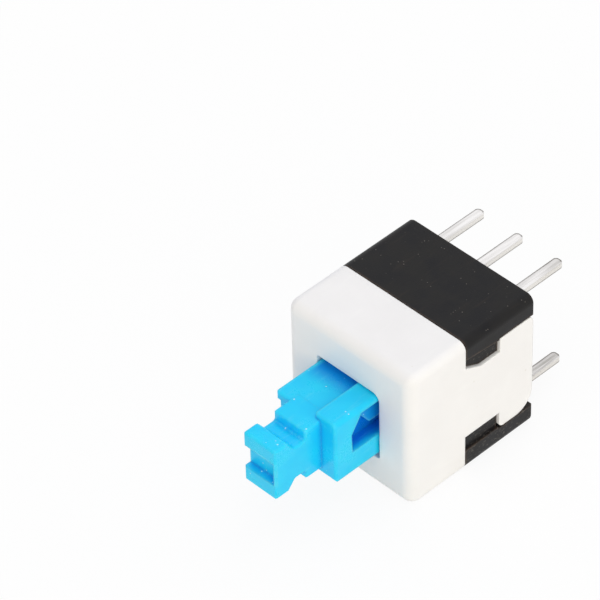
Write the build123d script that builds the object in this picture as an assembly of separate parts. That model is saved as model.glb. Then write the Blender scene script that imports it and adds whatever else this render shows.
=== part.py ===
from build123d import *
import os

# A small six-terminal push switch that locks down and releases on the next push.
# Millimetres. The origin is the centre of the rear face, which seats on the board.
# +Y points out of that face along the terminals, the plunger points to -Y, and the
# switch lies on one plain side with +Z up. The +X side carries the locking track.

# Housing
body_size = 8.0
body_length = 8.15
long_edge_radius = 0.45
front_edge_radius = 0.6
rear_edge_radius = 0.1
cover_length = 3.6
cover_wall = 0.6
inner_corner_radius = 0.2
front_wall = 0.7
floor_thickness = 1.4
spigot_length = 2.0

# Cover tongues and the recesses that hold them
tongue_thickness = 0.5
tongue_width = 5.64
tongue_head_length = 2.22
tongue_low_corner = 1.1
tongue_high_corner = 0.35
tongue_low_shoulder = 0.3
tongue_high_shoulder = 0.12
tongue_root_length = 0.9
neck_low_edge = 1.87
neck_high_edge = 2.0
neck_flare_width = 0.46
neck_flare_length = 1.0
relief_depth = 0.14
relief_step = 0.1
relief_rise = 0.2
catch_height = 0.25
catch_length = 0.6
catch_flat_length = 0.2
catch_width = 2.4
catch_setback = 0.45

# Rear face of the base
window_low_x = 1.0
window_height = 2.2
window_ledge = 0.15
panel_height = 3.0
panel_depth = 0.15
slot_width = 0.85
slot_height = 0.75
slot_depth = 1.2
slot_pin_gap = 0.175
slot_edge_wall = 0.25

# Terminals
pin_side_inset = 1.5
row_inset = 1.0
pin_width = 0.5
pin_length = 3.35
pin_tip_round = 0.2
terminal_thickness = 0.3
common_blade_width = 0.9
pad_side_gap = 0.7
pad_front_setback = 1.9
open_pad_length = 1.1
closed_pad_gap = 0.5
closed_pad_floor_gap = 1.1

# Plunger
travel = 2.6
travel_end_gap = 0.08
plunger_width = 3.8
guide_centre_z = -0.11
guide_plain_half = 1.64
rail_width = 1.3
rail_height = 0.27
rail_corner = 0.25
opening_corner = 0.42
block_round = 0.14
plain_corner = 0.08
side_recess_depth = 0.2
side_recess_height = 2.3
guide_length = 2.73
contact_room = 0.5
stem_width = 2.04
stem_centre_x = -0.04
stem_root_length = 0.6
stem_top = 1.55
stem_bottom = -1.44
pad_length = 0.99
neck_length = 0.68
neck_top = 1.0
neck_bottom = -0.94
ramp_length = 0.42
head_length = 0.83
head_dish_top = 0.75
head_dish_bottom = -0.6
head_dish_depth = 0.4
head_dish_end_wall = 0.12
head_dish_curve = 0.55
stem_round = 0.11
stem_edge_bevel = 0.08

# Locking track in the plunger's +X side, as places along the plunger and across it.
# Lengths run back from the cover's front face with the plunger released.
track_mid_depth = 0.35
track_deep_depth = 0.75
track_front_low = -1.62
track_front_high = -1.67
track_rear = 2.2
lane_bottom = -0.58
lane_top = 1.5
deflector_foot = 0.52
deflector_apex_y = -1.08
deflector_apex_z = 1.4
step_tip_y = -0.2
step_tip_z = 0.17
return_lane_width = 0.5
heart_front = 0.55
heart_length = 0.9
heart_top = 0.44
heart_notch_depth = 0.16
deep_lane_setback = 0.3

# Latch wire, drawn with flats
wire_radius = 0.2
wire_flat_count = 10
wire_bend = 0.35
latch_front = 1.85
latch_rest_z = 0.9
latch_pivot_y = -0.9
latch_pivot_z = 0.4
latch_foot_length = 0.45

# Return spring, whose wire is drawn with flats
spring_centre_x = -0.4
spring_radius = 0.85
spring_wire_radius = 0.12
spring_flat_count = 6
spring_turns = 6
spring_bore_depth = 2.4
post_length = 0.8
post_lead_in = 0.15

# Sliding contacts
strip_thickness = 0.12
strip_side_margin = 0.15
strip_length = 0.8
strip_rear_setback = 0.15
finger_width = 0.5
finger_rise_length = 0.5
finger_tip_length = 0.4
finger_tip_drop = 0.24
finger_crest_length = 0.2
finger_bend = 0.15
peg_radius = 0.2
peg_spacing = 1.5

# Guide ribs in the base
rib_thickness = 0.35
rib_centre_z = 1.75

# Fits
part_gap = 0.03
spigot_clearance = 0.05
tongue_clearance = 0.05
opening_clearance = 0.1
slide_clearance = 0.08
stop_clearance = 0.02
terminal_fit = 0.02
contact_clearance = 0.03
latch_clearance = 0.03
wire_side_clearance = 0.11
latch_end_clearance = 0.05
spring_clearance = 0.13
spring_end_clearance = 0.02
peg_clearance = 0.03

# Places that follow from the sizes
half_body = body_size / 2
front_y = -body_length
seam_y = front_y + cover_length
inner_front_y = front_y + front_wall
floor_y = -floor_thickness
plunger_half = plunger_width / 2
wire_lane = 2 * (wire_radius + wire_side_clearance)
chamber_half_x = plunger_half + wire_lane
row_spacing = body_size - 2 * row_inset
pin_pitch = half_body - pin_side_inset
pad_reach = pin_pitch + pin_width / 2 - common_blade_width / 2 - pad_side_gap
slot_centre_x = slot_width / 2 + slot_pin_gap + pin_width / 2 - pin_pitch
chamber_half_z = row_spacing / 2 - terminal_thickness / 2
cover_half = half_body - cover_wall
spigot_half = cover_half - spigot_clearance
spigot_front_y = seam_y - spigot_length
recess_floor_x = half_body - tongue_thickness - part_gap
tongue_rear_y = -tongue_clearance
shoulder_y = tongue_rear_y - tongue_head_length
rail_half = guide_plain_half + rail_height
carriage_front_y = inner_front_y + stop_clearance
carriage_rear_y = floor_y - travel - travel_end_gap
carriage_half_z = chamber_half_z - contact_room
strip_half = plunger_half - strip_side_margin
post_radius = spring_radius - spring_wire_radius - spring_clearance
guide_front_y = front_y - guide_length
blade_front_y = front_y + pad_front_setback


def end_extrude(face, low_y, high_y):
    """Extrude a face drawn in X and Z from high_y towards the plunger to low_y."""
    plane = Plane(origin=(0, high_y, 0), x_dir=(1, 0, 0), z_dir=(0, -1, 0))
    return extrude(plane * face, high_y - low_y)


def side_extrude(face, low_x, high_x):
    """Extrude a face drawn in Y and Z across X."""
    plane = Plane(origin=(low_x, 0, 0), x_dir=(0, 1, 0), z_dir=(1, 0, 0))
    return extrude(plane * face, high_x - low_x)


def plan_extrude(face, low_z, high_z):
    """Extrude a face drawn in X and Y up Z."""
    return extrude(Plane(origin=(0, 0, low_z)) * face, high_z - low_z)


def rectangle_between(low_a, high_a, low_b, high_b):
    """A rectangle given by its edges."""
    face = Rectangle(high_a - low_a, high_b - low_b)
    return Pos((low_a + high_a) / 2, (low_b + high_b) / 2) * face


def outline_face(*points):
    """A closed outline through the points in order."""
    return make_face(Polyline(*points, close=True))


def opposite(solid):
    """The same piece turned half a turn about the switch's axis."""
    return Rot(0, 180, 0) * solid


def tongue_outline():
    """T shape of a cover tongue in Y and Z: a flared neck and a round-cornered head."""
    head = rectangle_between(shoulder_y, tongue_rear_y, -tongue_width / 2, tongue_width / 2)
    rounds = (
        (-1, 0, tongue_low_corner),
        (-1, -1, tongue_high_corner),
        (0, 0, tongue_low_shoulder),
        (0, -1, tongue_high_shoulder),
    )
    for end, side, radius in rounds:
        corner = head.vertices().group_by(Axis.X)[end].sort_by(Axis.Y)[side]
        head = fillet(corner, radius)
    root_y = seam_y - tongue_root_length
    neck_end_y = shoulder_y + tongue_low_shoulder
    neck = outline_face(
        (root_y, -neck_low_edge),
        (neck_end_y, -neck_low_edge),
        (neck_end_y, neck_high_edge),
        (seam_y + neck_flare_length, neck_high_edge),
        (seam_y, neck_high_edge + neck_flare_width),
        (root_y, neck_high_edge + neck_flare_width),
    )
    return head + neck


def catch_outline(clearance):
    """Wedge on a tongue's inner face in X and Y, which clicks into the base wall."""
    front = shoulder_y - catch_setback - clearance
    rear = front + catch_length + 2 * clearance
    foot = half_body - tongue_thickness
    tip = foot - catch_height - clearance
    return outline_face((foot, front), (tip, front), (tip, front + catch_flat_length), (foot, rear))


def make_tongue():
    """One T-shaped tongue on the +X side, with its catch."""
    inner_x = half_body - tongue_thickness
    tongue = side_extrude(tongue_outline(), inner_x, half_body)
    return tongue + plan_extrude(catch_outline(0), -catch_width / 2, catch_width / 2)


def guided_section(clearance, railed_corner):
    """The plunger's guided section in X and Z about its own centre, grown by a clearance."""
    half_x = plunger_half + clearance
    half_z = rail_half + clearance
    face = rectangle_between(-half_x, half_x, -half_z, half_z)
    right = face.vertices().group_by(Axis.X)[-1]
    left = face.vertices().group_by(Axis.X)[0]
    railed = [right.sort_by(Axis.Y)[-1], left.sort_by(Axis.Y)[0]]
    face = fillet(railed, railed_corner)
    plain = [
        face.vertices().group_by(Axis.X)[-1].sort_by(Axis.Y)[0],
        face.vertices().group_by(Axis.X)[0].sort_by(Axis.Y)[-1],
    ]
    return fillet(plain, plain_corner + clearance)


def make_front_cover():
    """White moulded cover: a rounded shell with the plunger opening and two tongues."""
    cover = end_extrude(Rectangle(body_size, body_size), front_y, seam_y)
    cover = fillet(cover.edges().group_by(Axis.Y)[0], front_edge_radius)
    cover = fillet(cover.edges().filter_by(Axis.Y), long_edge_radius)
    inside = RectangleRounded(2 * cover_half, 2 * cover_half, inner_corner_radius)
    cover -= end_extrude(inside, inner_front_y, seam_y)
    opening = Pos(0, guide_centre_z) * guided_section(opening_clearance, opening_corner)
    cover -= end_extrude(opening, front_y, inner_front_y)
    tongue = make_tongue()
    return cover + tongue + opposite(tongue)


def recess_outline():
    """Side recess in Y and Z: it follows a tongue's neck, and is square round its head."""
    grown = offset(tongue_outline(), tongue_clearance, kind=Kind.INTERSECTION)
    wide = tongue_width / 2 + tongue_clearance
    return grown + rectangle_between(shoulder_y - tongue_clearance, 0, -wide, wide)


def relief_outline():
    """Shallow relief in Y and Z beside a tongue's neck, ahead of its shoulders."""
    edge = tongue_width / 2 + tongue_clearance - relief_step
    step_y = shoulder_y - tongue_clearance
    return outline_face((seam_y, -edge), (step_y, -edge), (step_y, edge), (seam_y, edge + relief_rise))


def terminal_outline(column):
    """Outline of a stamped terminal in X and Y for column -1, 0 or 1."""
    centre = column * pin_pitch
    low_pin_x = centre - pin_width / 2
    high_pin_x = centre + pin_width / 2
    closed_pad_front = blade_front_y + open_pad_length + closed_pad_gap
    pads = {
        -1: (low_pin_x, low_pin_x + pad_reach, blade_front_y, blade_front_y + open_pad_length),
        0: (-common_blade_width / 2, common_blade_width / 2, blade_front_y, floor_y - terminal_thickness),
        1: (high_pin_x - pad_reach, high_pin_x, closed_pad_front, floor_y - closed_pad_floor_gap),
    }
    pad_front = pads[column][2]
    pin = rectangle_between(low_pin_x, high_pin_x, pad_front, pin_length)
    pin = fillet(pin.vertices().group_by(Axis.Y)[-1], pin_tip_round)
    return pin + rectangle_between(*pads[column])


def make_terminal(column, row):
    """One flat terminal: contact pad inside, pin through the floor."""
    inner = chamber_half_z
    terminal = plan_extrude(terminal_outline(column), inner, inner + terminal_thickness)
    return terminal if row > 0 else mirror(terminal, Plane.XY)


def terminal_passage(column, row):
    """The groove and passage in the base that holds one terminal."""
    grown = offset(terminal_outline(column), terminal_fit, kind=Kind.INTERSECTION)
    inner = chamber_half_z - terminal_fit
    passage = plan_extrude(grown, inner, inner + terminal_thickness + 2 * terminal_fit)
    return passage if row > 0 else mirror(passage, Plane.XY)


def make_guide_ribs():
    """Four ribs on the chamber's side walls that guide the carriage."""
    inner = plunger_half + slide_clearance
    face = rectangle_between(inner, chamber_half_x + part_gap, -rib_thickness / 2, rib_thickness / 2)
    rib = end_extrude(Pos(0, rib_centre_z) * face, seam_y, floor_y)
    rib += mirror(rib, Plane.XY)
    return rib + opposite(rib)


def make_terminal_base():
    """Black moulded base: floor, contact walls, tongue recesses and rear openings."""
    base = end_extrude(Rectangle(body_size, body_size), seam_y + part_gap, 0)
    base = fillet(base.edges().filter_by(Axis.Y), long_edge_radius)
    base = fillet(base.edges().group_by(Axis.Y)[-1], rear_edge_radius)
    spigot = RectangleRounded(2 * spigot_half, 2 * spigot_half, inner_corner_radius)
    base += end_extrude(spigot, spigot_front_y, seam_y + part_gap)
    chamber = Rectangle(2 * chamber_half_x, 2 * chamber_half_z)
    base -= end_extrude(chamber, spigot_front_y, floor_y)

    recess = side_extrude(recess_outline(), recess_floor_x, half_body)
    recess += side_extrude(relief_outline(), half_body - relief_depth, half_body)
    pocket_half = catch_width / 2 + tongue_clearance
    recess += plan_extrude(catch_outline(tongue_clearance), -pocket_half, pocket_half)
    base -= recess
    base -= opposite(recess)

    half_window = window_height / 2
    window = rectangle_between(window_low_x, chamber_half_x, -half_window, half_window)
    base -= end_extrude(window, floor_y, 0)
    panel_low = window_low_x - window_ledge
    panel = rectangle_between(panel_low, recess_floor_x, -panel_height / 2, panel_height / 2)
    base -= end_extrude(panel, -panel_depth, 0)

    slot_z = half_body - slot_edge_wall - slot_height / 2
    slot = end_extrude(Pos(slot_centre_x, slot_z) * Rectangle(slot_width, slot_height), -slot_depth, 0)
    base -= slot
    base -= mirror(slot, Plane.XY)

    for column in (-1, 0, 1):
        for row in (-1, 1):
            base -= terminal_passage(column, row)

    hole = Pos(latch_pivot_y, latch_pivot_z) * Circle(wire_radius + latch_clearance)
    hole_low_x = window_low_x - latch_foot_length - latch_end_clearance
    base -= side_extrude(hole, hole_low_x, window_low_x)

    post = end_extrude(Pos(spring_centre_x, 0) * Circle(post_radius), floor_y - post_length, floor_y)
    post = chamfer(post.edges().group_by(Axis.Y)[0], post_lead_in)
    return base + post + make_guide_ribs()


def guide_outline():
    """Guided section in X and Z: rails at two opposite corners, a recess at the left."""
    section = guided_section(0, rail_corner)
    low_top = rectangle_between(-plunger_half, plunger_half - rail_width, guide_plain_half, rail_half)
    section -= low_top
    section -= Rot(0, 0, 180) * low_top
    recess = rectangle_between(
        -plunger_half,
        -plunger_half + side_recess_depth,
        -side_recess_height / 2,
        side_recess_height / 2,
    )
    return Pos(0, guide_centre_z) * (section - recess)


def make_stem():
    """Stem, neck and snap head: a round-cornered side profile of one width."""
    pad_y = guide_front_y - pad_length
    neck_y = pad_y - neck_length
    ramp_y = neck_y - ramp_length
    head_y = ramp_y - head_length
    root_y = guide_front_y + stem_root_length
    profile = outline_face(
        (root_y, stem_top),
        (pad_y, stem_top),
        (pad_y, neck_top),
        (neck_y, neck_top),
        (ramp_y, stem_top),
        (head_y, stem_top),
        (head_y, stem_bottom),
        (ramp_y, stem_bottom),
        (neck_y, neck_bottom),
        (pad_y, neck_bottom),
        (pad_y, stem_bottom),
        (root_y, stem_bottom),
    )
    profile = fillet(profile.vertices(), stem_round)
    low_x = stem_centre_x - stem_width / 2
    high_x = stem_centre_x + stem_width / 2
    stem = side_extrude(profile, low_x, high_x)
    side_faces = stem.faces().group_by(Axis.X)
    stem = chamfer(side_faces[0].edges() + side_faces[-1].edges(), stem_edge_bevel)
    dish_end_x = high_x - head_dish_end_wall
    deep_y = head_y + head_dish_depth
    curve_start = (dish_end_x - head_dish_curve, deep_y)
    dish_end = (dish_end_x, head_y)
    walls = Polyline(dish_end, (low_x, head_y), (low_x, deep_y), curve_start)
    dish = make_face([walls, TangentArc(curve_start, dish_end, tangent=(1, 0))])
    return stem - plan_extrude(dish, head_dish_bottom, head_dish_top)


def track_outline():
    """Outer wall of the locking track in Y and Z, with the deflector at its front."""
    return outline_face(
        (front_y + track_front_low, lane_bottom),
        (front_y + track_front_high, deflector_foot),
        (front_y + deflector_apex_y, deflector_apex_z),
        (front_y + deflector_apex_y, lane_top),
        (front_y + track_rear, lane_top),
        (front_y + track_rear, lane_bottom + return_lane_width),
        (front_y + track_rear - return_lane_width, lane_bottom),
    )


def deep_outline():
    """The deep part of the track: deflector corner and return lane."""
    deep_rear = front_y + heart_front + heart_length - deep_lane_setback
    return outline_face(
        (front_y + track_front_low, lane_bottom),
        (front_y + track_front_high, deflector_foot),
        (front_y + deflector_apex_y, deflector_apex_z),
        (front_y + step_tip_y, step_tip_z),
        (deep_rear, step_tip_z),
        (deep_rear, lane_bottom),
    )


def heart_outline():
    """The heart-shaped island in Y and Z, with the notch that holds the latch."""
    front = front_y + heart_front
    low = lane_bottom + return_lane_width
    high = heart_top
    rear = front + heart_length
    return outline_face(
        (front, high),
        (front + heart_notch_depth, (low + high) / 2),
        (front, low + heart_notch_depth / 2),
        (front + heart_notch_depth, low),
        (rear - 2 * heart_notch_depth, low),
        (rear, (low + high) / 2),
        (rear - heart_notch_depth, high + heart_notch_depth / 2),
    )


def make_locking_track():
    """Solid to cut from the plunger's +X side, with the heart left standing."""
    mid_floor = plunger_half - track_mid_depth
    deep_floor = plunger_half - track_deep_depth
    track = side_extrude(track_outline(), mid_floor, plunger_half)
    track += side_extrude(deep_outline(), deep_floor, plunger_half)
    return track - side_extrude(heart_outline(), deep_floor, plunger_half)


def contact_rear_y():
    """Rear end of the sliding contacts' mounting strip, with the plunger released."""
    return carriage_rear_y - strip_rear_setback


def peg_places():
    """Where the two pegs stand through each contact strip, in X and Y."""
    y = contact_rear_y() - strip_length / 2
    return [(-peg_spacing / 2, y), (peg_spacing / 2, y)]


def make_plunger():
    """Blue moulded plunger: snap head, guided block, carriage and locking track."""
    plunger = end_extrude(guide_outline(), guide_front_y, carriage_front_y)
    plunger = fillet(plunger.edges().group_by(Axis.Y)[0], block_round)
    carriage = Rectangle(plunger_width, 2 * carriage_half_z)
    plunger += end_extrude(carriage, carriage_front_y, carriage_rear_y)
    plunger += make_stem()
    plunger -= make_locking_track()

    seat_z = carriage_half_z - strip_thickness
    seat_half = strip_half + part_gap
    seat_front = contact_rear_y() - strip_length - finger_rise_length - finger_tip_length
    seat = rectangle_between(-seat_half, seat_half, seat_front - part_gap, carriage_rear_y)
    seat = plan_extrude(seat, seat_z, carriage_half_z)
    for x, y in peg_places():
        seat -= plan_extrude(Pos(x, y) * Circle(peg_radius), seat_z, carriage_half_z)
    plunger -= seat
    plunger -= mirror(seat, Plane.XY)

    bore = Circle(spring_radius + spring_wire_radius + spring_clearance)
    bore_front_y = carriage_rear_y - spring_bore_depth
    return plunger - end_extrude(Pos(spring_centre_x, 0) * bore, bore_front_y, carriage_rear_y)


def make_moving_contact(row):
    """Spring strip with three fingers that bridge the common blade and a pad."""
    seat_z = carriage_half_z - strip_thickness
    centre_z = seat_z + strip_thickness / 2
    crest_z = chamber_half_z - contact_clearance - strip_thickness / 2
    rear = contact_rear_y()
    root = rear - strip_length
    crest = root - finger_rise_length
    tip = crest - finger_tip_length
    strip = rectangle_between(-strip_half, strip_half, root, rear)
    contact = plan_extrude(strip, seat_z, seat_z + strip_thickness)
    for x, y in peg_places():
        hole = Pos(x, y) * Circle(peg_radius + peg_clearance)
        contact -= plan_extrude(hole, seat_z, seat_z + strip_thickness)
    arch = FilletPolyline(
        (root + strip_thickness, centre_z),
        (root, centre_z),
        (crest + finger_crest_length / 2, crest_z),
        (crest - finger_crest_length / 2, crest_z),
        (tip, crest_z - finger_tip_drop),
        radius=finger_bend,
    )
    finger = trace(arch, strip_thickness)
    finger_spacing = strip_half - finger_width / 2
    for x in (-finger_spacing, 0, finger_spacing):
        contact += side_extrude(finger, x - finger_width / 2, x + finger_width / 2)
    return contact if row > 0 else mirror(contact, Plane.XY)


def make_latch_wire():
    """Bent wire: front foot in the locking track, rear foot in the base's pivot hole."""
    foot_x = plunger_half - track_mid_depth + latch_end_clearance
    front = front_y + latch_front
    wire_run_x = plunger_half + wire_lane / 2
    path = FilletPolyline(
        (foot_x, front, latch_rest_z),
        (wire_run_x, front, latch_rest_z),
        (wire_run_x, latch_pivot_y, latch_pivot_z),
        (window_low_x - latch_foot_length, latch_pivot_y, latch_pivot_z),
        radius=wire_bend,
    )
    section = Plane(path @ 0, z_dir=path % 0) * RegularPolygon(wire_radius, wire_flat_count)
    return sweep(section, path=path)


def make_return_spring():
    """Coil spring from the plunger's bore to the base floor, with ground ends."""
    low = carriage_rear_y - spring_bore_depth + spring_end_clearance
    high = floor_y - spring_end_clearance
    length = high - low
    pitch = length / spring_turns
    path = Helix(pitch, length + 2 * pitch, spring_radius)
    wire = RegularPolygon(spring_wire_radius, spring_flat_count)
    coil = sweep(Plane(path @ 0, z_dir=path % 0) * wire, path=path, is_frenet=True)
    between_ends = extrude(Circle(spring_radius + spring_wire_radius + part_gap), length)
    spring = Pos(0, 0, -pitch) * coil & between_ends
    return Pos(spring_centre_x, low, 0) * Rot(-90, 0, 0) * spring


def main():
    os.makedirs("parts", exist_ok=True)
    pieces = {
        "front_cover": make_front_cover(),
        "terminal_base": make_terminal_base(),
        "plunger": make_plunger(),
        "latch_wire": make_latch_wire(),
        "return_spring": make_return_spring(),
        "moving_contact_upper": make_moving_contact(1),
        "moving_contact_lower": make_moving_contact(-1),
    }
    names = {-1: "open", 0: "common", 1: "closed"}
    for column, kind in names.items():
        pieces[f"terminal_upper_{kind}"] = make_terminal(column, 1)
        pieces[f"terminal_lower_{kind}"] = make_terminal(column, -1)
    for node, solid in pieces.items():
        export_step(solid, f"parts/{node}.step")


main()
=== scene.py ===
import logging
import math
from dataclasses import dataclass
from enum import Enum
from typing import Any

import bpy
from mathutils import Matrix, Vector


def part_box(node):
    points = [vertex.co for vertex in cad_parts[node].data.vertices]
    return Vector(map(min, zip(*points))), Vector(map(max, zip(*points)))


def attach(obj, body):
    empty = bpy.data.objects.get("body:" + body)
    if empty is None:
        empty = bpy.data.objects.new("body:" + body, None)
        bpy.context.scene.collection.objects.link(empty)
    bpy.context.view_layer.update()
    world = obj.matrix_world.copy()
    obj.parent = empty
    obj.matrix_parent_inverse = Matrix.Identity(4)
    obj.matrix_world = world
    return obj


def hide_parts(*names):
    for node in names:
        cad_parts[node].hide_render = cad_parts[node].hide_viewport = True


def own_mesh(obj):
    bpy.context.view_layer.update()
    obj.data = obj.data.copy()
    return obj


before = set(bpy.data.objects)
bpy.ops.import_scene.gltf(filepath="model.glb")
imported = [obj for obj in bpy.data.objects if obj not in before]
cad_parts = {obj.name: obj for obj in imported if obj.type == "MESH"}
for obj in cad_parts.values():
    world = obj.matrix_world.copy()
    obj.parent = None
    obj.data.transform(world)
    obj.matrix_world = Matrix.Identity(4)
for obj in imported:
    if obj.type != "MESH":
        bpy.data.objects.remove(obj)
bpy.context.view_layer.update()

# Looks of a six-terminal locking push switch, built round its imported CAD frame.
# Lengths in the classes are millimetres, as in the part's source, unless a class says otherwise.

MM = 0.001
Colour = tuple[float, float, float]
Point = tuple[float, float, float]
Span = tuple[float, float]
log = logging.getLogger("push_switch")


def paint(red: int, green: int, blue: int) -> Colour:
    """Turn a colour as a screen shows it into the shader's linear numbers, by the sRGB curve.

    Args:
        red: Red from 0 to 255.
        green: Green from 0 to 255.
        blue: Blue from 0 to 255.

    Returns:
        The three linear numbers.
    """
    shown = (part / 255 for part in (red, green, blue))
    return tuple(c / 12.92 if c <= 0.04045 else ((c + 0.055) / 1.055) ** 2.4 for c in shown)


class Row(Enum):
    """The two rows of terminals, and the side of the plunger that each faces."""

    UPPER = "upper"
    LOWER = "lower"


class Column(Enum):
    """The three terminals of a row, by what they join."""

    OPEN = "open"
    COMMON = "common"
    CLOSED = "closed"


class Across(Enum):
    """Which way a pattern is stretched, as its size along X, Y and Z."""

    EVEN = (1.0, 1.0, 1.0)
    ALONG_PINS = (1.0, 0.06, 1.0)
    ALONG_TRAVEL = (1.0, 0.12, 0.7)
    DOWN_FLOW = (1.0, 0.35, 1.0)
    ALONG_FLOW = (1.0, 0.5, 1.0)


class Detail(Enum):
    """How many finer layers a noise has."""

    SMOOTH = 1.0
    SOFT = 2.0
    MIXED = 3.0
    FINE = 4.0


class Reading:
    """A number in a node tree, to which Python arithmetic adds Math nodes."""

    def __init__(self, graph: "Graph", socket: bpy.types.NodeSocket) -> None:
        """Wrap one output socket of a tree."""
        self.graph = graph
        self.socket = socket

    def maths(
        self, operation: str, first: "Reading | float", second: "Reading | float"
    ) -> "Reading":
        """Add one Math node.

        Args:
            operation: The Math node's operation.
            first: Its first number.
            second: Its second number.

        Returns:
            The node's result.
        """
        node = self.graph.add("ShaderNodeMath", {"operation": operation}, {0: first, 1: second})
        return Reading(self.graph, node.outputs[0])

    def __add__(self, other: "Reading | float") -> "Reading":
        """Sum."""
        return self.maths("ADD", self, other)

    def __radd__(self, other: float) -> "Reading":
        """Sum with a plain number first."""
        return self.maths("ADD", other, self)

    def __sub__(self, other: "Reading | float") -> "Reading":
        """Difference."""
        return self.maths("SUBTRACT", self, other)

    def __rsub__(self, other: float) -> "Reading":
        """Difference with a plain number first."""
        return self.maths("SUBTRACT", other, self)

    def __mul__(self, other: "Reading | float") -> "Reading":
        """Product."""
        return self.maths("MULTIPLY", self, other)

    def __rmul__(self, other: float) -> "Reading":
        """Product with a plain number first."""
        return self.maths("MULTIPLY", other, self)

    def __truediv__(self, other: "Reading | float") -> "Reading":
        """Quotient."""
        return self.maths("DIVIDE", self, other)

    def above(self, edge: "Reading | float") -> "Reading":
        """Give 1 where this is more than edge, and 0 elsewhere."""
        return self.maths("GREATER_THAN", self, edge)

    def opposite(self) -> "Reading":
        """Give 1 for 0, and 0 for 1."""
        return 1 - self

    def least(self, other: "Reading | float") -> "Reading":
        """Give the smaller of the two."""
        return self.maths("MINIMUM", self, other)

    def most(self, other: "Reading | float") -> "Reading":
        """Give the larger of the two."""
        return self.maths("MAXIMUM", self, other)

    def size(self) -> "Reading":
        """Drop the sign."""
        return self.maths("ABSOLUTE", self, 0.0)

    def cosine(self) -> "Reading":
        """Give the cosine of this angle."""
        return self.maths("COSINE", self, 0.0)

    def sine(self) -> "Reading":
        """Give the sine of this angle."""
        return self.maths("SINE", self, 0.0)

    def from_nearest(self, spacing: float) -> "Reading":
        """Give the offset from the nearest multiple of spacing."""
        return self.maths("FLOORED_MODULO", self + spacing / 2, spacing) - spacing / 2

    def between(self, low: float, high: float) -> "Reading":
        """Rise smoothly from 0 at low to 1 at high.

        Args:
            low: Where the result is 0.
            high: Where the result is 1.

        Returns:
            The smooth step.
        """
        settings = {"interpolation_type": "SMOOTHSTEP"}
        values = {"Value": self, "From Min": low, "From Max": high}
        node = self.graph.add("ShaderNodeMapRange", settings, values)
        return Reading(self.graph, node.outputs[0])


class Graph:
    """A node tree that is filled by one method."""

    # A Mix node has sockets for each kind of data, and these are the ones for colours.
    MIX_SHARE = 0
    MIX_FIRST = 6
    MIX_SECOND = 7
    MIX_RESULT = 2

    def __init__(self, tree: bpy.types.NodeTree) -> None:
        """Hold the tree."""
        self.tree = tree

    def add(
        self,
        kind: str,
        settings: dict[str, Any] | None = None,
        values: dict[str | int, Any] | None = None,
    ) -> bpy.types.Node:
        """Add a node, with its settings first and then its sockets' values or links.

        Args:
            kind: The node's type.
            settings: The node's own properties.
            values: What goes into each socket, by name or number.

        Returns:
            The node.
        """
        node = self.tree.nodes.new(kind)
        for name, value in (settings or {}).items():
            setattr(node, name, value)
        for key, value in (values or {}).items():
            self.feed(node.inputs[key], value)
        return node

    def feed(self, socket: bpy.types.NodeSocket, value: Any) -> None:
        """Link a socket, or set its value.

        Args:
            socket: The socket to feed.
            value: A reading, another socket, or a plain value.
        """
        if isinstance(value, Reading):
            value = value.socket
        if isinstance(value, bpy.types.NodeSocket):
            self.tree.links.new(value, socket)
        elif socket.type == "RGBA":
            socket.default_value = (*value, 1.0)
        else:
            socket.default_value = value

    def read(self, node: bpy.types.Node, output: str) -> Reading:
        """Wrap one of a node's outputs."""
        return Reading(self, node.outputs[output])

    def blend(self, share: Reading, first: Any, second: Any) -> bpy.types.NodeSocket:
        """Mix two colours.

        Args:
            share: 0 for the first colour and 1 for the second.
            first: The first colour or its socket.
            second: The second colour or its socket.

        Returns:
            The mixed colour.
        """
        values = {self.MIX_SHARE: share, self.MIX_FIRST: first, self.MIX_SECOND: second}
        node = self.add("ShaderNodeMix", {"data_type": "RGBA"}, values)
        return node.outputs[self.MIX_RESULT]


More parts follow.
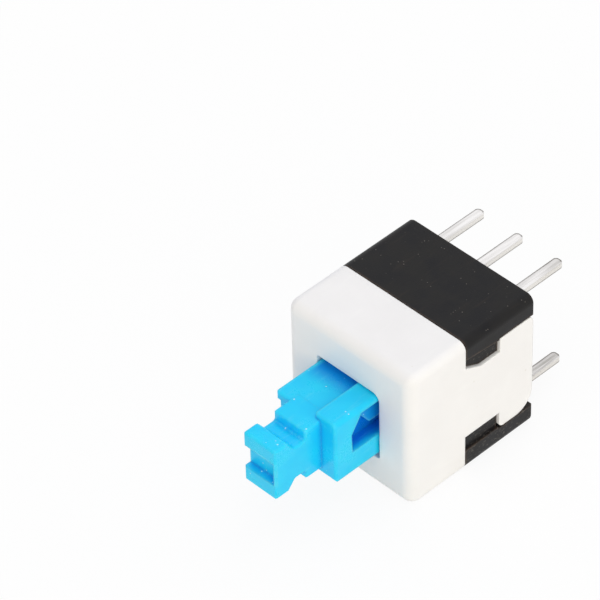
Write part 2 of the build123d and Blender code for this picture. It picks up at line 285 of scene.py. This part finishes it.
class FinishGraph(Graph):
    """The node tree of one material, built round its surface shader."""

    BEVEL_SAMPLES = 6
    SHADE_SAMPLES = 8
    CORNER_RISE: Span = (0.08, 0.42)
    CREASE_RISE: Span = (0.12, 0.7)
    SPECK_CORE = 0.6

    def __init__(self, name: str) -> None:
        """Start a material that has only its shader."""
        self.material = bpy.data.materials.new(name)
        self.material.use_nodes = True
        super().__init__(self.material.node_tree)
        self.tree.nodes.clear()
        self.shader = self.add("ShaderNodeBsdfPrincipled")
        self.add("ShaderNodeOutputMaterial", values={"Surface": self.shader.outputs[0]})
        self.places = self.add("ShaderNodeTexCoord").outputs["Object"]

    def spread(self, size: float, across: Across = Across.EVEN) -> bpy.types.NodeSocket:
        """Scale the object's own places so that a pattern's unit is size across.

        Args:
            size: Millimetres that one unit of the pattern takes.
            across: The way the pattern is stretched.

        Returns:
            The scaled places.
        """
        scale = tuple(share / (size * MM) for share in across.value)
        values = {"Vector": self.places, "Scale": scale}
        return self.add("ShaderNodeMapping", values=values).outputs[0]

    def clouds(
        self, size: float, detail: Detail = Detail.MIXED, across: Across = Across.EVEN
    ) -> Reading:
        """Add soft noise from 0 to 1.

        Args:
            size: Millimetres from patch to patch.
            detail: How many finer layers it has.
            across: The way it is stretched.

        Returns:
            The noise.
        """
        values = {"Vector": self.spread(size, across), "Scale": 1.0, "Detail": detail.value}
        return self.read(self.add("ShaderNodeTexNoise", values=values), "Fac")

    def specks(self, spacing: float, reach: float, share: float) -> Reading:
        """Add small round dots in some of the cells of an uneven grid.

        Args:
            spacing: Millimetres from cell to cell.
            reach: A dot's radius as a share of the spacing.
            share: The share of the cells that have a dot.

        Returns:
            1 in a dot and 0 outside.
        """
        values = {"Vector": self.spread(spacing), "Scale": 1.0}
        cells = self.add("ShaderNodeTexVoronoi", values=values)
        draws = self.add("ShaderNodeSeparateColor", values={"Color": cells.outputs["Color"]})
        dot = 1 - self.read(cells, "Distance").between(reach * self.SPECK_CORE, reach)
        return dot * self.read(draws, "Red").above(1 - share)

    def rounded(self, width: float) -> bpy.types.NodeSocket:
        """Round the shading of the corners.

        Args:
            width: Millimetres that the rounding takes.

        Returns:
            The rounded normal.
        """
        settings = {"samples": self.BEVEL_SAMPLES}
        return self.add("ShaderNodeBevel", settings, {"Radius": width * MM}).outputs[0]

    def corners(self, width: float) -> Reading:
        """Find the outward corners, where the piece is thin under its surface.

        Args:
            width: Millimetres from a corner that count as part of it.

        Returns:
            1 on a corner and 0 away from it.
        """
        settings = {"samples": self.SHADE_SAMPLES, "inside": True, "only_local": True}
        solid = self.add("ShaderNodeAmbientOcclusion", settings, {"Distance": width * MM})
        return self.read(solid, "AO").opposite().between(*self.CORNER_RISE)

    def creases(self, width: float) -> Reading:
        """Find the inward corners, which the piece's own walls shade.

        Args:
            width: Millimetres from a corner that count as part of it.

        Returns:
            1 deep in a crease and 0 away from it.
        """
        settings = {"samples": self.SHADE_SAMPLES, "only_local": True}
        outside = self.add("ShaderNodeAmbientOcclusion", settings, {"Distance": width * MM})
        return self.read(outside, "AO").opposite().between(*self.CREASE_RISE)

    def along(self, axis: str) -> Reading:
        """Give the object's own place along an axis, in millimetres."""
        parts = self.add("ShaderNodeSeparateXYZ", values={"Vector": self.places})
        return self.read(parts, axis) * (1 / MM)

    def facing(self, axis: str) -> Reading:
        """Give how far the surface faces along an axis, from -1 to 1."""
        surface = self.add("ShaderNodeNewGeometry")
        values = {"Vector": surface.outputs["Normal"]}
        return self.read(self.add("ShaderNodeSeparateXYZ", values=values), axis)

    def relief(
        self, height: Reading, depth: float, normal: bpy.types.NodeSocket
    ) -> bpy.types.NodeSocket:
        """Turn a height from 0 to 1 into bumps.

        Args:
            height: The height.
            depth: Millimetres that a height of 1 stands.
            normal: The normal to start from.

        Returns:
            The bumped normal.
        """
        values = {"Height": height, "Distance": depth * MM, "Normal": normal}
        return self.add("ShaderNodeBump", values=values).outputs[0]

    def finish(self, **values: Any) -> bpy.types.Material:
        """Feed the surface shader, whose sockets are named with underscores for spaces."""
        for name, value in values.items():
            self.feed(self.shader.inputs[name.replace("_", " ")], value)
        return self.material


@dataclass(frozen=True)
class PaintedShade:
    """Painted shade on a see-through moulding: a darker colour in its pockets, in its creases and
    on its sunk top towards its housing.
    """

    colour: Colour
    side_x: float
    pocket_start: float
    pocket_depth: float
    pocket_half_height: float
    block_y: Span
    wall_fade: float
    wall_share: float
    sunk_z: float
    sunk_rise: Span
    crease_width: float
    crease_share: float

    def share(self, graph: FinishGraph) -> Reading:
        """Find how much shade is painted at each place.

        Args:
            graph: The material's tree.

        Returns:
            0 at the open surface and 1 in the depths.
        """
        front, wall = self.block_y
        along = graph.along("Y")
        inward = self.side_x - graph.along("X").size()
        height = graph.along("Z")
        # Painted shade: deeper colour in the block's pockets, on the sunk top towards the housing
        # wall, and in the creases.
        in_block = along.above(front) * height.size().above(self.pocket_half_height).opposite()
        pocket = inward.between(self.pocket_start, self.pocket_depth) * in_block
        sunk = inward.between(*self.sunk_rise) * height.above(self.sunk_z).opposite()
        towards_wall = along.between(wall - self.wall_fade, wall) * sunk * self.wall_share
        shaded = graph.creases(self.crease_width) * self.crease_share
        return pocket.most(towards_wall).most(shaded)


@dataclass(frozen=True)
class MouldedPlastic:
    """A moulded plastic with soft patches, fine grain, scuffs, specks, and edges lightened partly
    by wear and partly by painted highlight.

    Sizes are millimetres, shares run from 0 to 1, and a rise is where a mask goes from 0 to 1.
    """

    name: str
    colour: Colour
    patch_colour: Colour
    patch_size: float
    edge_wear_and_highlight_colour: Colour
    edge_share: float
    edge_width: float
    round_width: float
    roughness: float
    roughness_spread: float
    grain_size: float
    grain_depth: float
    wave_size: float
    wave_depth: float
    scuff_share: float
    speck_colour: Colour
    speck_spacing: float
    speck_share: float
    specular: float
    patch_rise: Span = (0.3, 0.7)
    scuff_size: float = 0.22
    scuff_rise: Span = (0.56, 0.74)
    grains_per_rub: float = 6.0
    least_wear: float = 0.3
    speck_reach: float = 0.22
    speck_field_size: float = 1.3
    speck_field_rise: Span = (0.42, 0.6)
    graze_share: float = 0.0
    graze_size: float = 0.09
    graze_rise: Span = (0.54, 0.7)
    graze_x: float = 3.3
    graze_z: float = 2.9
    glow: float = 0.0
    glow_depth: float = 0.4
    glow_reach: Colour = (1.0, 1.0, 1.0)
    painted_shade: PaintedShade | None = None

    def marks(self, graph: FinishGraph) -> Reading:
        """Find what is lightened: outward corners, by wear and by painted highlight, and scuffs
        along the travel.

        Args:
            graph: The material's tree.

        Returns:
            The share of the edge colour.
        """
        # Outward corners are lightened: partly rubbed wear, partly painted highlight on the
        # rounded edges.
        rubbed = graph.clouds(self.grain_size * self.grains_per_rub).between(*self.patch_rise)
        wear_and_highlight = graph.corners(self.edge_width) * (self.least_wear + (1 - self.least_wear) * rubbed)
        slides = graph.clouds(self.scuff_size, Detail.FINE, Across.ALONG_TRAVEL)
        scuffs = slides.between(*self.scuff_rise) * self.scuff_share
        return (wear_and_highlight * self.edge_share).most(scuffs)

    def specks(self, graph: FinishGraph) -> Reading:
        """Find the specks in the plastic, and the grazes on its flanks where it has any.

        Args:
            graph: The material's tree.

        Returns:
            The share of the speck colour.
        """
        fields = graph.clouds(self.speck_field_size, Detail.SMOOTH)
        dots = graph.specks(self.speck_spacing, self.speck_reach, self.speck_share)
        specks = dots * fields.between(*self.speck_field_rise)
        if not self.graze_share:
            return specks
        below = (self.graze_z - graph.along("Z")).above(0.0)
        flank = graph.along("X").size().above(self.graze_x) * below
        grazed = graph.clouds(self.graze_size, Detail.MIXED, Across.ALONG_FLOW)
        grazes = grazed.between(*self.graze_rise) * flank
        return specks.most(grazes * self.graze_share)

    def material(self) -> bpy.types.Material:
        """Build the plastic."""
        graph = FinishGraph(self.name)
        patches = graph.clouds(self.patch_size).between(*self.patch_rise)
        grain = graph.clouds(self.grain_size, Detail.SOFT)
        waves = graph.clouds(self.wave_size, Detail.SMOOTH, Across.DOWN_FLOW)
        base = graph.blend(patches, self.colour, self.patch_colour)
        # Painted shade: the colour deepens in the plunger's pockets, creases and near the housing.
        if self.painted_shade:
            base = graph.blend(self.painted_shade.share(graph), base, self.painted_shade.colour)
        # Lighter edges: partly wear, partly painted highlight.
        edged = graph.blend(self.marks(graph), base, self.edge_wear_and_highlight_colour)
        flow = graph.relief(waves, self.wave_depth, graph.rounded(self.round_width))
        return graph.finish(
            Base_Color=graph.blend(self.specks(graph), edged, self.speck_colour),
            Roughness=self.roughness + (grain + patches - 1) * self.roughness_spread,
            Normal=graph.relief(grain, self.grain_depth, flow),
            Specular_IOR_Level=self.specular,
            Subsurface_Weight=self.glow,
            Subsurface_Radius=self.glow_reach,
            Subsurface_Scale=self.glow_depth * MM,
        )


@dataclass(frozen=True)
class TinnedStrip:
    """Tinned sheet metal: bright wiped faces with streaks, and painted shade as dark rims round
    its edges.

    Sizes are millimetres, shares run from 0 to 1, and a rise is where a mask goes from 0 to 1.
    """

    name: str
    colour: Colour
    streak_colour: Colour
    cut_colour: Colour
    rim_shade_colour: Colour
    roughness: float
    lump_size: float
    lump_depth: float
    pitch: float = 2.5
    row_spacing: float = 6.0
    rolled_beyond_x: float = 0.16
    rolled_beyond_z: float = 0.06
    rolled_share: float = 0.9
    streak_size: float = 0.12
    streak_rise: Span = (0.35, 0.75)
    streak_share: float = 0.35
    dull_size: float = 1.9
    dull_rise: Span = (0.52, 0.66)
    dull_share: float = 0.25
    dull_streak_share: float = 0.3
    outermost_dulling: float = 0.22
    pit_size: float = 0.05
    pit_height: float = 0.25
    streak_height: float = 0.15
    pit_roughness: float = 0.12
    dull_roughness: float = 0.2
    rim_width: float = 0.13
    rim_shade_share: float = 0.9
    least_rim: float = 0.6
    cut_rise: Span = (0.5, 0.9)
    cut_share: float = 0.8
    cut_bareness: float = 0.3
    round_width: float = 0.05

    def rolled(self, graph: FinishGraph) -> Reading:
        """Find the one long edge of each pin that the die rolled over, which stays bright.

        Args:
            graph: The material's tree.

        Returns:
            1 along that edge and 0 elsewhere.
        """
        sideways = graph.along("X").from_nearest(self.pitch)
        upwards = (graph.along("Z") - self.row_spacing / 2).from_nearest(self.row_spacing)
        edge = sideways.above(self.rolled_beyond_x) * upwards.above(self.rolled_beyond_z)
        return edge * graph.along("Y").above(0.0)

    def dullness(self, streaks: Reading, dulled: Reading) -> Reading:
        """Weigh the streaks and the dulled patches.

        Args:
            streaks: The streaks along the pins.
            dulled: The patches where the tin is dull.

        Returns:
            The share of the streak colour.
        """
        dull = dulled * (self.dull_share + self.dull_streak_share * streaks)
        return self.streak_share * streaks + dull

    def material(self) -> bpy.types.Material:
        """Build the metal."""
        graph = FinishGraph(self.name)
        lines = graph.clouds(self.streak_size, Detail.FINE, Across.ALONG_PINS)
        streaks = lines.between(*self.streak_rise)
        outermost = graph.along("X").above(self.pitch / 2)
        patches = graph.clouds(self.dull_size, Detail.SOFT, Across.DOWN_FLOW)
        dulled = (patches + self.outermost_dulling * outermost).between(*self.dull_rise)
        lumps = graph.clouds(self.lump_size, Detail.SOFT)
        pits = graph.clouds(self.pit_size)
        uneven = self.least_rim + (1 - self.least_rim) * pits
        # Painted shade: a dark rim round the pins' edges, left off one long edge.
        rim = graph.corners(self.rim_width) * uneven * (1 - self.rolled_share * self.rolled(graph))
        sheared = graph.facing("X").size().between(*self.cut_rise)
        wiped = graph.blend(self.dullness(streaks, dulled), self.colour, self.streak_colour)
        cut = graph.blend(sheared * self.cut_share, wiped, self.cut_colour)
        height = lumps + self.pit_height * pits + self.streak_height * streaks
        roughness = self.roughness + self.pit_roughness * pits + self.dull_roughness * dulled
        return graph.finish(
            Base_Color=graph.blend(rim * self.rim_shade_share, cut, self.rim_shade_colour),
            Metallic=1.0 - self.cut_bareness * sheared,
            Roughness=roughness,
            Normal=graph.relief(height, self.lump_depth, graph.rounded(self.round_width)),
        )


@dataclass(frozen=True)
class DrawnMetal:
    """Drawn wire or rolled strip, with die lines and a little tarnish."""

    name: str
    colour: Colour
    tarnish_colour: Colour
    roughness: float
    line_size: float
    line_depth: float
    tarnish_size: float = 0.7
    tarnish_rise: Span = (0.45, 0.8)
    tarnish_share: float = 0.6
    tarnish_roughness: float = 0.2
    line_roughness: float = 0.08
    rub_width: float = 0.04
    rub_share: float = 0.5
    round_width: float = 0.03

    def material(self) -> bpy.types.Material:
        """Build the metal."""
        graph = FinishGraph(self.name)
        lines = graph.clouds(self.line_size, Detail.FINE, Across.ALONG_PINS)
        tarnish = graph.clouds(self.tarnish_size, Detail.FINE).between(*self.tarnish_rise)
        stained = graph.blend(tarnish * self.tarnish_share, self.colour, self.tarnish_colour)
        rubbed = graph.corners(self.rub_width) * self.rub_share
        dulled = self.roughness + self.tarnish_roughness * tarnish
        return graph.finish(
            Base_Color=graph.blend(rubbed, stained, self.colour),
            Metallic=1.0,
            Roughness=dulled + self.line_roughness * lines,
            Normal=graph.relief(lines, self.line_depth, graph.rounded(self.round_width)),
        )


COVER_WHITE = MouldedPlastic(
    name="cover_white",
    colour=paint(243, 242, 242),
    patch_colour=paint(240, 239, 239),
    patch_size=2.6,
    # A whiter rim: painted highlight on the rounded edges.
    edge_wear_and_highlight_colour=paint(254, 254, 252),
    edge_share=0.8,
    edge_width=0.15,
    round_width=0.1,
    roughness=0.42,
    roughness_spread=0.06,
    grain_size=0.05,
    grain_depth=0.0012,
    wave_size=1.8,
    wave_depth=0.012,
    scuff_share=0.1,
    speck_colour=paint(228, 226, 221),
    speck_spacing=0.25,
    speck_share=0.01,
    specular=0.35,
    glow=0.1,
)
BASE_BLACK = MouldedPlastic(
    name="base_black",
    colour=paint(16, 16, 20),
    patch_colour=paint(27, 26, 26),
    patch_size=1.1,
    # Brown edge lines: partly rubbed wear, partly painted highlight on the rounded edges.
    edge_wear_and_highlight_colour=paint(86, 70, 57),
    edge_share=0.6,
    edge_width=0.17,
    round_width=0.06,
    roughness=0.46,
    roughness_spread=0.12,
    grain_size=0.07,
    grain_depth=0.004,
    wave_size=1.4,
    wave_depth=0.02,
    scuff_share=0.05,
    speck_colour=paint(98, 94, 89),
    speck_spacing=0.15,
    speck_share=0.14,
    specular=0.2,
    graze_share=0.45,
)
PLUNGER_BLUE = MouldedPlastic(
    name="plunger_blue",
    colour=paint(31, 213, 255),
    patch_colour=paint(23, 205, 253),
    patch_size=1.6,
    # A lighter cyan on the edges: painted highlight, as of light through the plastic.
    edge_wear_and_highlight_colour=paint(105, 220, 255),
    edge_share=0.5,
    edge_width=0.2,
    round_width=0.12,
    roughness=0.3,
    roughness_spread=0.08,
    grain_size=0.06,
    grain_depth=0.002,
    wave_size=0.9,
    wave_depth=0.03,
    scuff_share=0.28,
    speck_colour=paint(205, 242, 255),
    speck_spacing=0.22,
    speck_share=0.14,
    specular=0.28,
    glow=0.25,
    glow_reach=(0.3, 0.9, 1.6),
    # Painted shade: a deeper blue in the pockets, the creases and near the housing wall.
    painted_shade=PaintedShade(
        colour=paint(6, 131, 233),
        side_x=1.9,
        pocket_start=0.06,
        pocket_depth=0.5,
        pocket_half_height=1.52,
        block_y=(-10.7, -8.1),
        wall_fade=1.3,
        wall_share=0.8,
        sunk_z=1.65,
        sunk_rise=(0.05, 0.3),
        crease_width=0.45,
        crease_share=0.6,
    ),
)
TERMINAL_TIN = TinnedStrip(
    name="terminal_tin",
    colour=paint(247, 245, 245),
    streak_colour=paint(168, 165, 160),
    cut_colour=paint(236, 233, 228),
    # Painted shade on the pins' rims.
    rim_shade_colour=paint(78, 70, 60),
    roughness=0.26,
    lump_size=0.35,
    lump_depth=0.02,
)
SPRING_STEEL = DrawnMetal(
    name="spring_steel",
    colour=paint(206, 205, 202),
    tarnish_colour=paint(150, 144, 134),
    roughness=0.24,
    line_size=0.04,
    line_depth=0.002,
)
CONTACT_ALLOY = DrawnMetal(
    name="contact_alloy",
    colour=paint(226, 190, 122),
    tarnish_colour=paint(170, 128, 74),
    roughness=0.22,
    line_size=0.05,
    line_depth=0.001,
)


class FinishShelf:
    """Every finish of the switch, made once and shared."""

    def __init__(self) -> None:
        """Start with no finish made."""
        self.made: dict[str, bpy.types.Material] = {}

    def get(self, finish: MouldedPlastic | TinnedStrip | DrawnMetal) -> bpy.types.Material:
        """Give a finish's material, and make it the first time."""
        if finish.name not in self.made:
            self.made[finish.name] = finish.material()
        return self.made[finish.name]


def dress(node: str, material: bpy.types.Material) -> None:
    """Give a CAD node its material.

    Args:
        node: The CAD node's name.
        material: The material for all of its slots.
    """
    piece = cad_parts[node]
    for slot in piece.material_slots:
        slot.material = material
    log.info("%s wears %s", node, material.name)


@dataclass
class Housing:
    """The white cover and the black base that it clips onto."""

    cover: MouldedPlastic = COVER_WHITE
    base: MouldedPlastic = BASE_BLACK

    def build(self, shelf: FinishShelf) -> None:
        """Dress both mouldings."""
        dress("front_cover", shelf.get(self.cover))
        dress("terminal_base", shelf.get(self.base))


@dataclass
class Plunger:
    """The blue plunger with its snap head and locking track."""

    plastic: MouldedPlastic = PLUNGER_BLUE

    def build(self, shelf: FinishShelf) -> None:
        """Dress the moulding."""
        dress("plunger", shelf.get(self.plastic))


@dataclass
class LatchWire:
    """The bent wire that runs in the plunger's track."""

    metal: DrawnMetal = SPRING_STEEL

    def build(self, shelf: FinishShelf) -> None:
        """Dress the wire."""
        dress("latch_wire", shelf.get(self.metal))


@dataclass
class ContactStrips:
    """The two sliding contacts on the plunger's carriage."""

    metal: DrawnMetal = CONTACT_ALLOY

    def build(self, shelf: FinishShelf) -> None:
        """Dress both strips."""
        for row in Row:
            dress(f"moving_contact_{row.value}", shelf.get(self.metal))


@dataclass
class Terminals:
    """The two rows of three stamped terminals."""

    metal: TinnedStrip = TERMINAL_TIN

    def build(self, shelf: FinishShelf) -> None:
        """Dress all six."""
        for row in Row:
            for column in Column:
                dress(f"terminal_{row.value}_{column.value}", shelf.get(self.metal))


@dataclass
class ReturnSpring:
    """The coil between the plunger and the floor, wound by a node tree.

    Lengths are millimetres, and the closed pitch is in radii of the wire.
    """

    wire_radius: float = 0.12
    coil_radius: float = 0.85
    turns: float = 8.0
    closed_turns: float = 1.0
    centre_x: float = -0.4
    closed_pitch: float = 2.1
    compressed_share: float = 0.484
    metal: DrawnMetal = SPRING_STEEL
    steps_per_turn: int = 40
    wire_sides: int = 14

    def winding(self) -> bpy.types.GeometryNodeTree:
        """Make the rule that winds a coil with its end turns closed up.

        Returns:
            The node tree, with an input for each size and for the material.
        """
        tree = bpy.data.node_groups.new("closed_end_coil", "GeometryNodeTree")
        sockets = tree.interface
        sockets.new_socket("Geometry", in_out="INPUT", socket_type="NodeSocketGeometry")
        for name in ("Coil Radius", "Wire Radius", "Turns", "Closed Turns", "Length"):
            sockets.new_socket(name, in_out="INPUT", socket_type="NodeSocketFloat")
        sockets.new_socket("Steps", in_out="INPUT", socket_type="NodeSocketInt")
        sockets.new_socket("Metal", in_out="INPUT", socket_type="NodeSocketMaterial")
        sockets.new_socket("Geometry", in_out="OUTPUT", socket_type="NodeSocketGeometry")
        graph = Graph(tree)
        entry = graph.add("NodeGroupInput")
        radius, wire = graph.read(entry, "Coil Radius"), graph.read(entry, "Wire Radius")
        turns, closed = graph.read(entry, "Turns"), graph.read(entry, "Closed Turns")
        length = graph.read(entry, "Length")

        line = graph.add("GeometryNodeCurvePrimitiveLine")
        steps = {"Curve": line.outputs[0], "Count": graph.read(entry, "Steps")}
        course = graph.add("GeometryNodeResampleCurve", values=steps)
        wound = graph.read(graph.add("GeometryNodeSplineParameter"), "Factor") * turns
        lead = wound.least(closed)
        tail = (wound - (turns - closed)).most(0.0)
        open_turns = turns - 2 * closed
        middle = (wound - closed).most(0.0).least(open_turns)
        end_rise = self.closed_pitch * wire
        pitch = (length - 2 * wire - 2 * closed * end_rise) / open_turns
        rise = wire + (lead + tail) * end_rise + middle * pitch
        angle = wound * math.tau
        helix = {"X": radius * angle.cosine(), "Y": rise, "Z": radius * angle.sine()}
        place = graph.add("ShaderNodeCombineXYZ", values=helix)
        bent = {"Geometry": course.outputs[0], "Position": place.outputs[0]}
        coil = graph.add("GeometryNodeSetPosition", values=bent)
        round_wire = {"Resolution": self.wire_sides, "Radius": wire}
        section = graph.add("GeometryNodeCurvePrimitiveCircle", values=round_wire)
        skin = {"Curve": coil.outputs[0], "Profile Curve": section.outputs[0], "Fill Caps": True}
        wire_mesh = graph.add("GeometryNodeCurveToMesh", values=skin)
        smooth = graph.add("GeometryNodeSetShadeSmooth", values={"Geometry": wire_mesh.outputs[0]})
        real = graph.add("GeometryNodeRealizeInstances", values={"Geometry": smooth.outputs[0]})
        metal = {"Geometry": real.outputs[0], "Material": entry.outputs["Metal"]}
        dressed = graph.add("GeometryNodeSetMaterial", values=metal)
        graph.add("NodeGroupOutput", values={"Geometry": dressed.outputs[0]})
        return tree

    def build(self, shelf: FinishShelf) -> None:
        """Wind the spring where its CAD node lies, and hang it on the housing.

        Args:
            shelf: The finishes.
        """
        low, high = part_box("return_spring")
        carrier = bpy.data.objects.new("spring_winding", bpy.data.meshes.new("spring_winding"))
        bpy.context.scene.collection.objects.link(carrier)
        winder = carrier.modifiers.new("winding", "NODES")
        winder.node_group = self.winding()
        values = {
            "Coil Radius": self.coil_radius * MM,
            "Wire Radius": self.wire_radius * MM,
            "Turns": self.turns,
            "Closed Turns": self.closed_turns,
            "Length": high.y - low.y,
            "Steps": int(self.turns * self.steps_per_turn),
            "Metal": shelf.get(self.metal),
        }
        for item in winder.node_group.interface.items_tree:
            if item.in_out == "INPUT" and item.name in values:
                winder[item.identifier] = values[item.name]
        seen = carrier.evaluated_get(bpy.context.evaluated_depsgraph_get())
        mesh = bpy.data.meshes.new_from_object(seen)
        bpy.data.objects.remove(carrier)
        for vertex in mesh.vertices:
            vertex.co.x += self.centre_x * MM
            vertex.co.y += low.y
        spring = bpy.data.objects.new("coil_spring", mesh)
        bpy.context.scene.collection.objects.link(spring)
        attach(spring, "housing")
        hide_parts("return_spring")
        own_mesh(spring)
        log.info("coil_spring has %d faces", len(mesh.polygons))


@dataclass(frozen=True)
class Lamp:
    """A soft lamp, by where it stands; only a mirrored one shows in gloss."""

    name: str
    towards: Point
    strength: float
    softness: float
    colour: Colour
    mirrored: bool = False

    def hang(self) -> None:
        """Add the lamp to the scene, pointing at the object."""
        light = bpy.data.lights.new(self.name, "SUN")
        light.energy = self.strength
        light.angle = math.radians(self.softness)
        light.color = self.colour
        piece = bpy.data.objects.new(self.name, light)
        piece.visible_glossy = self.mirrored
        bpy.context.scene.collection.objects.link(piece)
        x, y, z = self.towards
        piece.rotation_euler = (math.atan2(math.hypot(x, y), z), 0.0, math.atan2(x, -y))


LAMPS = (
    Lamp(
        "key_lamp",
        towards=(0.92, -0.20, 0.40),
        strength=0.50,
        softness=110.0,
        colour=(1.0, 0.95, 0.79),
    ),
    Lamp(
        "rim_lamp",
        towards=(0.92, -0.20, 0.40),
        strength=0.38,
        softness=40.0,
        colour=(1.0, 0.94, 0.76),
        mirrored=True,
    ),
    Lamp(
        "top_lamp",
        towards=(0.05, 0.10, 1.00),
        strength=0.55,
        softness=60.0,
        colour=(0.79, 0.83, 1.0),
    ),
    Lamp(
        "back_lamp",
        towards=(-0.10, 0.70, 0.70),
        strength=0.48,
        softness=60.0,
        colour=(0.90, 0.92, 1.0),
    ),
    Lamp(
        "low_lamp",
        towards=(0.60, -0.70, 0.15),
        strength=0.50,
        softness=60.0,
        colour=(1.0, 0.88, 0.60),
    ),
)


@dataclass
class Studio:
    """The pale floor, the plain light and the photograph's camera.

    The camera's place and clipping are in metres, and its turn is in degrees.
    """

    floor_z: float = -4.0
    floor_size: float = 3000.0
    floor_colour: Colour = paint(246, 246, 246)
    room_level: float = 0.60
    room_colour: Colour = (1.0, 0.995, 0.99)
    backdrop_colour: Colour = (1.0, 1.0, 1.0)
    backdrop_share: float = 0.9
    lamps: tuple[Lamp, ...] = LAMPS
    sensor_width: float = 36.0
    lens_length: float = 256.5
    clip_range: Span = (0.02, 20.0)
    camera_place: Point = (0.10110, -0.10731, 0.13621)
    camera_turn: Point = (47.5285, 1.1838, 45.3133)

    def floor(self) -> None:
        """Lay the floor, which keeps the shadow and shows as near white."""
        half = self.floor_size / 2 * MM
        height = self.floor_z * MM
        signs = ((-1, -1), (1, -1), (1, 1), (-1, 1))
        corners = [(x * half, y * half, height) for x, y in signs]
        mesh = bpy.data.meshes.new("floor")
        mesh.from_pydata(corners, [], [(0, 1, 2, 3)])
        floor = bpy.data.objects.new("floor", mesh)
        bpy.context.scene.collection.objects.link(floor)
        material = bpy.data.materials.new("floor_paper")
        material.use_nodes = True
        graph = Graph(material.node_tree)
        graph.tree.nodes.clear()
        paper = graph.add("ShaderNodeBsdfDiffuse", values={"Color": self.floor_colour})
        plain = {"Color": self.backdrop_colour, "Strength": 1.0}
        white = graph.add("ShaderNodeEmission", values=plain)
        share = self.backdrop_share * self.seen(graph)
        values = {0: share, 1: paper.outputs[0], 2: white.outputs[0]}
        mixed = graph.add("ShaderNodeMixShader", values=values)
        graph.add("ShaderNodeOutputMaterial", values={"Surface": mixed.outputs[0]})
        mesh.materials.append(material)

    @staticmethod
    def seen(graph: Graph) -> Reading:
        """Give 1 for what the camera sees, also in gloss and through glass, and 0 for light."""
        path = graph.add("ShaderNodeLightPath")
        camera = graph.read(path, "Is Camera Ray")
        glossy = graph.read(path, "Is Glossy Ray")
        return camera.most(glossy).most(graph.read(path, "Is Transmission Ray"))

    def room(self) -> None:
        """Light the room evenly, with a white background."""
        world = bpy.data.worlds.new("room")
        world.use_nodes = True
        bpy.context.scene.world = world
        graph = Graph(world.node_tree)
        graph.tree.nodes.clear()
        seen = self.seen(graph)
        level = self.room_level + (1 - self.room_level) * seen
        colour = graph.blend(seen, self.room_colour, self.backdrop_colour)
        values = {"Color": colour, "Strength": level}
        light = graph.add("ShaderNodeBackground", values=values)
        graph.add("ShaderNodeOutputWorld", values={"Surface": light.outputs[0]})

    def light(self) -> None:
        """Hang the soft lamps."""
        for lamp in self.lamps:
            lamp.hang()

    def camera(self) -> None:
        """Set the camera at the photograph's place and angle."""
        lens = bpy.data.cameras.new("photo_camera")
        lens.sensor_width = self.sensor_width
        lens.lens = self.lens_length
        lens.clip_start, lens.clip_end = self.clip_range
        piece = bpy.data.objects.new("photo_camera", lens)
        piece.location = self.camera_place
        piece.rotation_euler = tuple(math.radians(angle) for angle in self.camera_turn)
        bpy.context.scene.collection.objects.link(piece)
        bpy.context.scene.camera = piece

    def build(self) -> None:
        """Set the whole stage."""
        self.floor()
        self.room()
        self.light()
        self.camera()
        bpy.context.scene.view_settings.view_transform = "Standard"


def main() -> None:
    """Build the stage and the sub-assemblies in order, and log each as done."""
    logging.basicConfig(level=logging.INFO, format="%(name)s: %(message)s")
    shelf = FinishShelf()
    Studio().build()
    assemblies = (Housing(), Plunger(), LatchWire(), ContactStrips(), Terminals(), ReturnSpring())
    for assembly in assemblies:
        assembly.build(shelf)
        log.info("%s done", type(assembly).__name__)


if __name__ == "__main__":
    main()
